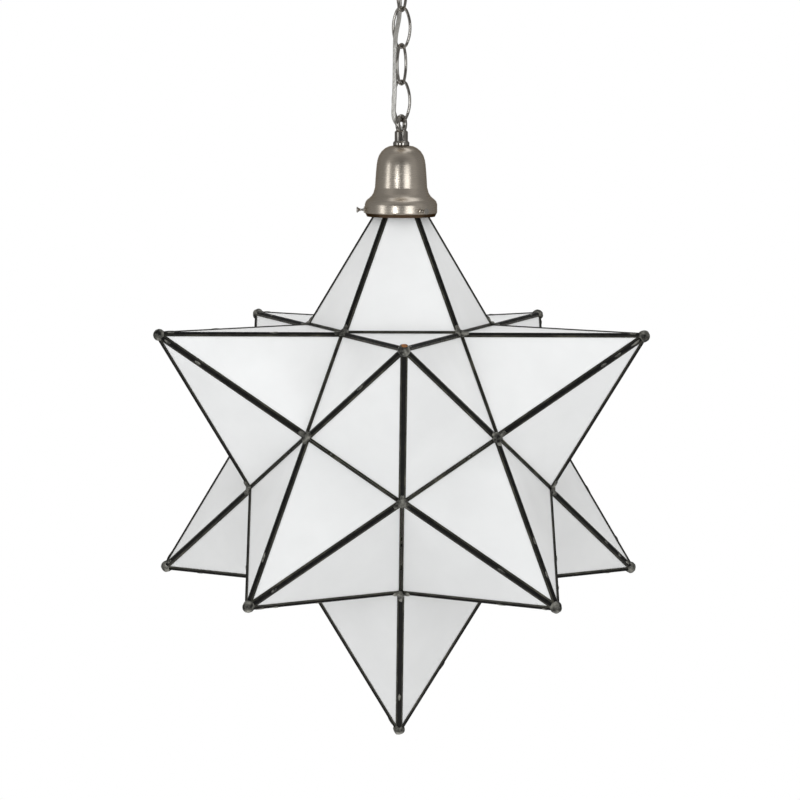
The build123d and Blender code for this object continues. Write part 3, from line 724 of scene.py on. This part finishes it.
def corner_directions():
    """Directions of the twenty corners where six panes meet."""
    tips = tip_directions()
    low, high = TIPS_APART
    found = []
    for a in tips:
        for b in tips:
            for c in tips:
                if all(low < d < high for d in (a.dot(b), b.dot(c), a.dot(c))):
                    corner = (a + b + c).normalized()
                    if all((corner - other).length > 0.1 for other in found):
                        found.append(corner)
    return found


def star_middle():
    """The star's middle, from the cut of its lowest point."""
    return Vector((0, 0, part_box("bottom_point_cames")[0].z + STAR_REACH))


class STARPENDANT_OT_glass(bpy.types.Operator):
    """Give the panes their milky glass"""

    bl_idname = "star_pendant.glass"
    bl_label = "Glass panes"

    def execute(self, context):
        # The lower points' glass is made 0.92 as bright: painted shade, as the room's light falls mostly
        # from above
        sheets = (("opal_glass", UPPER_POINTS, 1.0), ("opal_glass_lower_shaded", LOWER_POINTS, 0.92))
        for name, points, amount in sheets:
            dress([f"{point}_point_panes" for point in points], self.milky(name, amount))
        return {"FINISHED"}

    @staticmethod
    def milky(name, amount):
        """Opal glass with soft clouds; the lower points get a darker copy of it as painted shade."""
        colour = shade(colours().glass, amount)
        mat = material(name, colour, 0.4, inputs={
            "Subsurface Weight": 0.35, "Subsurface Scale": 0.006, "Subsurface Radius": (1.0, 1.0, 1.0)})
        vary_colour(mat, pattern(mat, 14.0, 4.0), [(0.3, shade(colour, 0.97)), (0.7, shade(colour, 1.04))])
        waves = pattern(mat, 9.0, 1.0)
        vary_roughness(mat, waves, 0.34, 0.46)
        raise_surface(mat, waves, 0.0004, 0.08)
        return mat


class STARPENDANT_OT_cames(bpy.types.Operator):
    """Give the lead cames their patina and soft edges"""

    bl_idname = "star_pendant.cames"
    bl_label = "Lead cames"

    def execute(self, context):
        lead = colours().came
        mat = material("leaded_came", lead, 0.45, 0.2, {"Specular IOR Level": 0.3})
        stains = [(0.38, lead), (0.6, shade(lead, 2.4)), (0.74, colours().came_edge)]
        vary_colour(mat, pattern(mat, 55.0, 5.0), stains)
        dents = pattern(mat, 320.0)
        vary_roughness(mat, dents, 0.32, 0.62)
        raise_surface(mat, dents, 0.0003, 0.4)
        names = [f"{point}_point_cames" for point in UPPER_POINTS + LOWER_POINTS]
        dress(names, mat)
        soften_edges(names, 0.00035)
        return {"FINISHED"}


class STARPENDANT_OT_ridge_beads(bpy.types.Operator):
    """Add the blackened solder seam between the two cames of every ridge, near black also as painted shade
    deep in the groove
    """

    bl_idname = "star_pendant.ridge_beads"
    bl_label = "Ridge seams"

    radius = 0.0021
    sunk = 0.0019           # the bead's middle under the ridge
    tip_clearance = 0.010
    foot_clearance = 0.003
    neck_clearance = 0.0004

    def execute(self, context):
        middle = star_middle()
        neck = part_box("top_point_cames")[1].z
        corners = corner_directions()
        bm = bmesh.new()
        for tip in tip_directions():
            for corner in corners:
                if tip.dot(corner) < CORNER_NEAR:
                    continue
                peak, foot = middle + tip * TIP_REACH, middle + corner * JOINT_REACH
                along = (foot - peak).normalized()
                inward = tip * tip.dot(foot - middle) + middle - foot
                inward = (inward - along * inward.dot(along)).normalized()
                start = peak + along * self.tip_clearance
                if tip.z > 0.99:    # the top point ends at the neck
                    start = peak + along * ((peak.z - neck + self.neck_clearance) / -along.z)
                end = foot - along * self.foot_clearance
                self.bead(bm, start + inward * self.sunk, end + inward * self.sunk)
        finish_piece("ridge_seams", bm, self.black(), "fixture", smooth_angle=50.0)
        return {"FINISHED"}

    def bead(self, bm, start, end):
        """A straight bead between two places."""
        matrix = Matrix.Translation((start + end) / 2) @ facing(end - start).to_4x4()
        bmesh.ops.create_cone(bm, cap_ends=True, cap_tris=False, segments=16, radius1=self.radius,
                              radius2=self.radius, depth=(end - start).length, matrix=matrix)

    @staticmethod
    def black():
        """Blackened solder deep in the seam, its near black partly painted shade of the groove."""
        # Painted shade: the seam is near black and fills the groove, so its walls read as shaded
        mat = material("seam_solder_and_shade", (0.006, 0.006, 0.005), 0.6, inputs={"Specular IOR Level": 0.14})
        grain = pattern(mat, 260.0, 4.0)
        vary_colour(mat, grain, [(0.35, (0.002, 0.002, 0.002)), (0.7, (0.012, 0.011, 0.009))])
        vary_roughness(mat, grain, 0.45, 0.75)
        raise_surface(mat, grain, 0.0003, 0.5)
        return mat


def lump(bm, middle, direction, scale, seed, roughness, detail=3):
    """A rounded lump of solder, its last size along a direction."""
    made = bmesh.ops.create_icosphere(bm, subdivisions=detail, radius=1.0)["verts"]
    for vert in made:
        away = noise.noise(vert.co * 1.3 + Vector((seed * 7.1, seed * 3.3, 0)))
        fine = noise.noise(vert.co * 3.4 + Vector((0, seed * 5.7, seed)))
        vert.co *= 1 + roughness * away + roughness * 0.4 * fine
    bmesh.ops.scale(bm, verts=made, vec=scale)
    bmesh.ops.transform(bm, verts=made, matrix=Matrix.Translation(middle) @ facing(direction).to_4x4())


class STARPENDANT_OT_solder(bpy.types.Operator):
    """Add the solder balls on the tips and the solder where six panes meet"""

    bl_idname = "star_pendant.solder"
    bl_label = "Solder"

    ball_lift = 0.0012          # a ball's middle past the cut of its point

    # Bare copper on the front upper tip, from the middle of its ball
    spot_place = (0.0004, -0.0030, 0.0048)
    spot_facing = (0, -0.5, 0.85)
    spot_size = (0.0030, 0.0026, 0.0014)

    # The joint where six panes meet, and its arms along the ridges
    joint_height, joint_sunk = 0.0031, 0.0002
    arm_size = (0.0024, 0.0024, 0.0052)
    arm_reach, arm_change, arm_sunk = 0.0062, 0.002, 0.0011

    # Streaks, from the tip down; the change and growth depend on chance
    streaks_a_ridge, least_chance = 3, 0.05
    streak_start, streak_step, streak_change = 0.018, 0.012, 0.10
    streak_size = (0.0013, 0.0013, 0.004)
    streak_growth, streak_sunk = 0.008, 0.0006
    steep_fall = -0.8           # ridges that fall more steeply from their tips stay clean

    def execute(self, context):
        size = sizes()
        mat = self.dull()
        middle = star_middle()
        tips = tip_directions()

        balls = [middle + tip * (STAR_REACH + self.ball_lift) for tip in tips[1:]]
        ball = size.ball_radius
        bm = bmesh.new()
        for number, (place, tip) in enumerate(zip(balls, tips[1:])):
            lump(bm, place, tip, (ball * 0.98, ball * 0.98, ball * 1.04),
                 seed=number, roughness=0.10, detail=4)
        spot = bmesh.new()
        lump(spot, balls[0] + Vector(self.spot_place), Vector(self.spot_facing), self.spot_size,
             seed=5, roughness=0.2)
        finish_piece("bare_copper_spot", spot, self.copper(), "fixture", smooth_angle=180.0)
        finish_piece("tip_solder_balls", bm, mat, "fixture", ("tip_solder",), smooth_angle=180.0)

        joint = size.joint_radius
        bm = bmesh.new()
        for number, corner in enumerate(corner_directions()):
            lump(bm, middle + corner * (JOINT_REACH - self.joint_sunk), corner,
                 (joint, joint, self.joint_height), seed=number + 20, roughness=0.24, detail=4)
            foot = middle + corner * JOINT_REACH
            for arm, tip in enumerate(tips):
                if tip.dot(corner) > CORNER_NEAR:
                    peak = middle + tip * TIP_REACH
                    along = (peak - foot).normalized()
                    reach = self.arm_reach + self.arm_change * noise.noise(corner * 5 + tip)
                    lump(bm, foot + along * reach - corner * self.arm_sunk, along, self.arm_size,
                         seed=number * 3 + arm, roughness=0.2)
                    self.streaks(bm, foot, peak, number * 12 + arm)
        finish_piece("vertex_solder_joints", bm, mat, "fixture", ("vertex_solder",),
                     smooth_angle=180.0)
        return {"FINISHED"}

    def streaks(self, bm, foot, peak, seed):
        """Thin streaks of brighter solder left on some of the ridges, mostly near their tips."""
        along = (foot - peak).normalized()
        if along.z < self.steep_fall:
            return
        inward = peak.lerp(foot, 0.5) - star_middle()
        inward = -(inward - along * inward.dot(along)).normalized()
        wide, deep, long = self.streak_size
        for count in range(self.streaks_a_ridge):
            chance = noise.noise(Vector((seed * 1.37 + 0.5, count * 2.9 + 0.3, 4.1)))
            if chance >= self.least_chance:
                reach = self.streak_start + self.streak_change * count * chance + self.streak_step * count
                place = peak + along * reach + inward * self.streak_sunk
                lump(bm, place, along, (wide, deep, long + self.streak_growth * chance),
                     seed=seed + count * 7, roughness=0.25)

    @staticmethod
    def copper():
        """Copper where the foil was left bare."""
        mat = material("bare_copper", (0.55, 0.22, 0.07), 0.4, 0.8)
        patches = pattern(mat, 420.0)
        vary_colour(mat, patches, [(0.35, (0.20, 0.10, 0.05)), (0.65, (0.62, 0.25, 0.08))])
        raise_surface(mat, patches, 0.0002, 0.4)
        return mat

    @staticmethod
    def dull():
        """Dull solder with darker patina in patches."""
        colour = colours().solder
        mat = material("solder", colour, 0.45, 0.55, {"Specular IOR Level": 0.3})
        patches = [(0.36, shade(colour, 0.12)), (0.5, colour), (0.66, shade(colour, 2.4))]
        vary_colour(mat, pattern(mat, 170.0, 4.0), patches)
        grain = pattern(mat, 500.0)
        vary_roughness(mat, grain, 0.3, 0.6)
        raise_surface(mat, grain, 0.0004, 0.5)
        return mat


# ---------------------------------------------------------------- ceiling end

class STARPENDANT_OT_canopy(bpy.types.Operator):
    """Add the dished canopy and the knurled ring that holds it"""

    bl_idname = "star_pendant.canopy"
    bl_label = "Canopy"

    rim = 0.065             # radius of the rim
    flat = 0.0205           # radius from which the dish rises
    upright = 0.004         # height of the straight rim
    wall = 0.001
    knurls = 144            # steps round the ring, every other one cut
    knurl_cut = 0.975
    knurled_from = 0.0157   # radius outside which the ring is cut

    def execute(self, context):
        low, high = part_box("canopy")
        reach, rise = self.rim - self.flat, high.z - low.z - self.upright
        turn = 2 * atan2(rise, reach)
        radius = reach / sin(turn)
        profile = [(0.0135, low.z), (0.017, low.z)]
        for step in range(13):
            angle = turn * step / 12
            profile.append((self.flat + radius * sin(angle), low.z + radius * (1 - cos(angle))))
        profile += [(self.rim, high.z - 0.002), (self.rim, high.z)]
        finish_piece("canopy_spun", spun_sheet(profile, 96, self.wall), satin_nickel("canopy_nickel"),
                     "canopy", ("canopy",), smooth_angle=35.0)
        self.ring()
        return {"FINISHED"}

    def ring(self):
        """The knurled collar ring."""
        low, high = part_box("collar_ring")
        bm = turned([
            (0.0113, low.z), (0.0145, low.z), (0.0160, low.z + 0.0015), (0.0160, high.z - 0.0008),
            (0.0132, high.z - 0.0008), (0.0132, high.z), (0.0113, high.z),
        ], self.knurls, closed=True, rounding=0.0002)
        bmesh.ops.remove_doubles(bm, verts=bm.verts, dist=MERGE)
        for vert in bm.verts:
            step = round(degrees(atan2(vert.co.y, vert.co.x)) * self.knurls / 360)
            if hypot(vert.co.x, vert.co.y) > self.knurled_from and step % 2:
                vert.co.x *= self.knurl_cut
                vert.co.y *= self.knurl_cut
        mat = worn_metal("ring_nickel", shade(colours().nickel, 0.95), 0.22)
        finish_piece("collar_ring_knurled", bm, mat, "collar_ring", ("collar_ring",),
                     smooth_angle=20.0)


# Material, colour, roughness and the CAD nodes that get it
METAL_FITTINGS = (
    ("zinc_steel", (0.55, 0.54, 0.50), 0.35,
     ("ceiling_bar", "ceiling_nut", "bell_nut", "ceiling_washer", "bell_washer")),
    ("threaded_steel", (0.55, 0.54, 0.50), 0.32, ("ceiling_nipple", "bell_nipple")),
    ("green_screw", (0.03, 0.22, 0.07), 0.35, ("ground_screw",)),
    ("collar_metal", (0.42, 0.40, 0.37), 0.35, ("star_collar",)),
    ("socket_cap_metal", (0.60, 0.46, 0.22), 0.3, ("socket_cap",)),
    ("shell_metal", (0.72, 0.70, 0.66), 0.25, ("socket_screw_shell", "lamp_base")),
    ("contact_brass", (0.75, 0.55, 0.22), 0.28, ("socket_contact", "socket_terminals")),
)


class STARPENDANT_OT_fittings(bpy.types.Operator):
    """Give the ceiling bar, nipples, nuts, socket and lamp their materials"""

    bl_idname = "star_pendant.fittings"
    bl_label = "Fittings"

    def execute(self, context):
        for name, colour, roughness, nodes in METAL_FITTINGS:
            dress(nodes, worn_metal(name, colour, roughness))
        self.thread(bpy.data.materials["threaded_steel"])

        plastic = material("socket_plastic", (0.03, 0.028, 0.026), 0.35)
        grain = pattern(plastic, 260.0)
        vary_colour(plastic, grain, [(0.3, (0.02, 0.018, 0.016)), (0.7, (0.045, 0.04, 0.036))])
        raise_surface(plastic, grain, 0.0002, 0.3)
        dress(["socket_body"], plastic)

        black = material("lamp_insulator", (0.02, 0.02, 0.025), 0.2)
        vary_roughness(black, pattern(black, 300.0), 0.12, 0.3)
        dress(["lamp_button"], black)

        frosted = material("lamp_glass", (0.93, 0.92, 0.89), 0.4,
                           inputs={"Subsurface Weight": 0.3, "Subsurface Scale": 0.004})
        vary_roughness(frosted, pattern(frosted, 180.0), 0.32, 0.48)
        dress(["lamp_globe"], frosted)

        soften_edges(["ceiling_bar", "ceiling_nut", "bell_nut"], 0.0002)
        soften_edges(["lamp_globe", "star_collar", "socket_cap", "socket_body"], 0.0003)
        return {"FINISHED"}

    @staticmethod
    def thread(mat):
        """Rings of thread round the Z axis, in place of the metal's grain."""
        place = add_node(mat, "ShaderNodeTexCoord")
        rings = add_node(mat, "ShaderNodeTexWave", {"Scale": 290.0}, bands_direction="Z")
        wire(mat, place.outputs["Object"], rings.inputs["Vector"])
        raise_surface(mat, rings.outputs["Fac"], 0.0004, 0.8)


# ---------------------------------------------------------------------- stage

FLOOR_LEVEL = -3.2      # as far down as a room's floor is below its ceiling
FLOOR_GLOW = 0.75
ROOM_LIGHT = (0.71, 0.82)   # what plain surfaces see below and above

# What metal sees from front to back: a dark room, and white only behind the star
ROOM_BANDS = ((0.02, 0.10), (0.10, 0.20), (0.28, 0.40), (0.5, 0.24), (0.84, 0.27), (0.96, 0.4), (0.99, 1.0))

# Soft boxes: place, what they point at, width and height, watts
LAMP_COLOUR = (0.93, 0.965, 1.0)
LAMPS = {
    "key_lamp": ((-2.30, -1.22, -0.5), (0, 0, -0.4), (0.6, 1.8), 6.5),
    "fill_lamp": ((1.14, -2.34, -0.5), (0, 0, -0.4), (1.1, 1.6), 13),
    "window_lamp": ((-0.84, -2.45, -0.38), (0, 0, -0.3), (0.34, 0.8), 9),
    "top_lamp": ((0.2, 0.4, 2.2), (0, 0, -0.45), (1.8, 1.8), 12),
}


class STARPENDANT_OT_stage(bpy.types.Operator):
    """Add the pale floor of the room, its soft light and the soft boxes"""

    bl_idname = "star_pendant.stage"
    bl_label = "Stage"

    def execute(self, context):
        self.floor(context)
        self.world(context)
        for name, settings in LAMPS.items():
            self.lamp(context, name, *settings)
        return {"FINISHED"}

    @staticmethod
    def floor(context):
        """A pale floor that is white where it is seen directly."""
        bm = bmesh.new()
        bmesh.ops.create_grid(bm, x_segments=4, y_segments=4, size=2.0,
                              matrix=Matrix.Translation((0, 0, FLOOR_LEVEL)))
        mesh = bpy.data.meshes.new("floor")
        bm.to_mesh(mesh)
        bm.free()
        obj = bpy.data.objects.new("floor", mesh)
        context.scene.collection.objects.link(obj)
        mat = material("pale_floor", (0.8, 0.8, 0.8), 0.9, inputs={"Emission Color": (1, 1, 1, 1)})
        glow = add_node(mat, "ShaderNodeMath", {1: FLOOR_GLOW}, operation="MULTIPLY")
        wire(mat, seen_directly(mat, "Is Glossy Ray", "Is Transmission Ray"), glow.inputs[0])
        wire(mat, glow.outputs[0], shader_input(mat, "Emission Strength"))
        mesh.materials.append(mat)

    @staticmethod
    def world(context):
        """White for the camera, a soft room for plain surfaces, and bands for metal."""
        world = bpy.data.worlds.new("studio")
        context.scene.world = world
        world.use_nodes = True
        place = add_node(world, "ShaderNodeTexCoord")
        parts = axes_of(world, place.outputs["Generated"])
        room = spread(world, parts["Z"], *ROOM_LIGHT, edges=(-0.5, 0.7))
        around = add_node(world, "ShaderNodeMath", {1: 0.5, 2: 0.5}, operation="MULTIPLY_ADD")
        wire(world, parts["Y"], around.inputs[0])
        bands = tint(world, around.outputs[0], [(spot, (level,) * 3) for spot, level in ROOM_BANDS])
        path = add_node(world, "ShaderNodeLightPath")
        glossy = add_node(world, "ShaderNodeMix")
        wire(world, path.outputs["Is Glossy Ray"], glossy.inputs["Factor"])
        wire(world, room, glossy.inputs["A"])
        wire(world, bands, glossy.inputs["B"])
        level = add_node(world, "ShaderNodeMix", {"B": 1.0})
        wire(world, seen_directly(world, "Is Transmission Ray"), level.inputs["Factor"])
        wire(world, glossy.outputs["Result"], level.inputs["A"])
        back = world.node_tree.nodes["Background"]
        back.inputs["Color"].default_value = (1, 1, 1, 1)
        wire(world, level.outputs["Result"], back.inputs["Strength"])

    @staticmethod
    def lamp(context, name, place, target, size, power):
        """A soft box that the camera doesn't see."""
        data = bpy.data.lights.new(name, "AREA")
        data.shape = "RECTANGLE"
        data.size, data.size_y = size
        data.energy = power
        data.color = LAMP_COLOUR
        obj = bpy.data.objects.new(name, data)
        obj.location = place
        obj.visible_camera = False
        obj.rotation_euler = (Vector(target) - Vector(place)).to_track_quat("-Z", "Y").to_euler()
        context.scene.collection.objects.link(obj)


# ---------------------------------------------------------------------- panel

STEPS = (
    STARPENDANT_OT_camera, STARPENDANT_OT_cord, STARPENDANT_OT_chain, STARPENDANT_OT_loops,
    STARPENDANT_OT_bell, STARPENDANT_OT_screws, STARPENDANT_OT_glass, STARPENDANT_OT_cames,
    STARPENDANT_OT_ridge_beads, STARPENDANT_OT_solder, STARPENDANT_OT_canopy,
    STARPENDANT_OT_fittings, STARPENDANT_OT_stage,
)


class STARPENDANT_PT_panel(bpy.types.Panel):
    """Lists the pendant's sizes, colours and pieces"""

    bl_idname = "STARPENDANT_PT_panel"
    bl_label = "Star Pendant"
    bl_space_type = "VIEW_3D"
    bl_region_type = "UI"
    bl_category = "Star Pendant"

    def draw(self, context):
        for settings in (context.scene.star_pendant_sizes, context.scene.star_pendant_colours):
            column = self.layout.column()
            for key in settings.__annotations__:
                column.prop(settings, key)
        for step in STEPS:
            self.layout.operator(step.bl_idname)


CLASSES = (StarPendantSizes, StarPendantColours, *STEPS, STARPENDANT_PT_panel)


def register():
    """Registers the classes and puts the settings on the scene."""
    for cls in CLASSES:
        bpy.utils.register_class(cls)
    bpy.types.Scene.star_pendant_sizes = bpy.props.PointerProperty(type=StarPendantSizes)
    bpy.types.Scene.star_pendant_colours = bpy.props.PointerProperty(type=StarPendantColours)


def unregister():
    """Takes away what register added."""
    del bpy.types.Scene.star_pendant_colours
    del bpy.types.Scene.star_pendant_sizes
    for cls in reversed(CLASSES):
        bpy.utils.unregister_class(cls)


def main():
    """Makes every piece."""
    register()
    view = bpy.context.scene.view_settings
    view.view_transform = "Standard"
    ops = bpy.ops.star_pendant
    for step in (ops.camera, ops.cord, ops.chain, ops.loops, ops.bell, ops.screws, ops.glass,
                 ops.cames, ops.ridge_beads, ops.solder, ops.canopy, ops.fittings, ops.stage):
        if step() != {"FINISHED"}:
            raise RuntimeError("a step was cancelled")
    bpy.context.view_layer.update()


if __name__ == "__main__":
    main()
